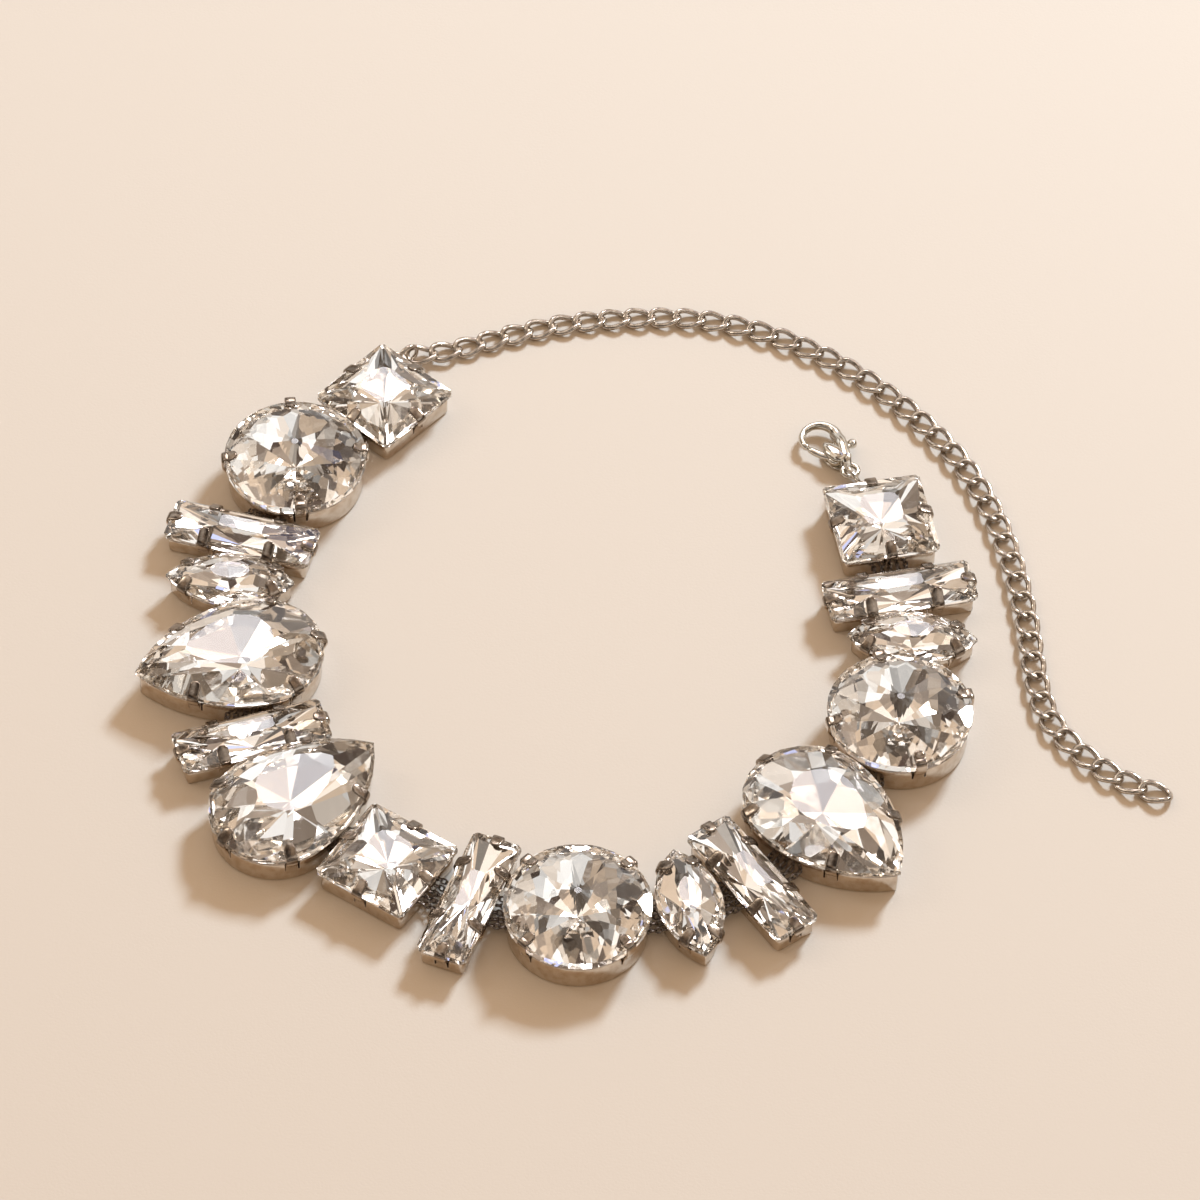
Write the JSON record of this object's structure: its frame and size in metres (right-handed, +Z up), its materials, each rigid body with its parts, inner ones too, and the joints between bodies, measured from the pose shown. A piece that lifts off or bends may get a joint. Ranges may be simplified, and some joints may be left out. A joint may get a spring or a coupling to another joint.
{
  "type": "choker necklace",
  "caption": "Statement choker necklace of large foil-backed crystals in claw settings, lying unfastened, with a long curb chain at one end and a lobster clasp at the other.",
  "frame": {"origin": "middle of the necklace's box in plan, on the surface that it lies on", "axes": "+Z up from the surface, +X to the right towards the curb chain's free end, +Y away from the viewer, with the row of stones curving towards -Y"},
  "size_m": [0.142, 0.1222, 0.0087],
  "materials": {
    "plating": "bright warm silver-coloured plating on stamped metal",
    "crystal": "polished faceted clear glass with a mirror foil behind",
    "chain": "warm pewter-toned plating, a little duller than the settings"
  },
  "bodies": {
    "necklace": {"setting_01_square": "plating", "setting_02_round": "plating", "setting_03_baguette": "plating", "setting_04_navette": "plating", "setting_05_pear": "plating", "setting_06_baguette": "plating", "setting_07_pear": "plating", "setting_08_square": "plating", "setting_09_baguette": "plating", "setting_10_round": "plating", "setting_11_navette": "plating", "setting_12_baguette": "plating", "setting_13_pear": "plating", "setting_14_round": "plating", "setting_15_navette": "plating", "setting_16_baguette": "plating", "setting_17_square": "plating", "stone_01_square": "crystal", "stone_02_round": "crystal", "stone_03_baguette": "crystal", "stone_04_navette": "crystal", "stone_05_pear": "crystal", "stone_06_baguette": "crystal", "stone_07_pear": "crystal", "stone_08_square": "crystal", "stone_09_baguette": "crystal", "stone_10_round": "crystal", "stone_11_navette": "crystal", "stone_12_baguette": "crystal", "stone_13_pear": "crystal", "stone_14_round": "crystal", "stone_15_navette": "crystal", "stone_16_baguette": "crystal", "stone_17_square": "crystal", "fine_chain_01": "chain", "fine_chain_02": "chain", "fine_chain_03": "chain", "fine_chain_04": "chain", "fine_chain_05": "chain", "fine_chain_06": "chain", "fine_chain_07": "chain", "fine_chain_08": "chain", "fine_chain_09": "chain", "fine_chain_10": "chain", "fine_chain_11": "chain", "fine_chain_12": "chain", "fine_chain_13": "chain", "fine_chain_14": "chain", "fine_chain_15": "chain", "fine_chain_16": "chain", "chain_jump_ring": "chain", "curb_chain": "chain", "clasp_jump_ring": "plating", "clasp_body": "plating"},
    "lever": {"clasp_lever": "plating"}
  },
  "joints": [
    {"name": "clasp_lever", "type": "hinge", "parent": "necklace", "child": "lever", "pos_m": [0.02553, 0.0323, 0.0014], "axis": [0, 0, -1], "range_deg": [0, 25], "stiffness_Nm_per_rad": 0.006}
  ]
}
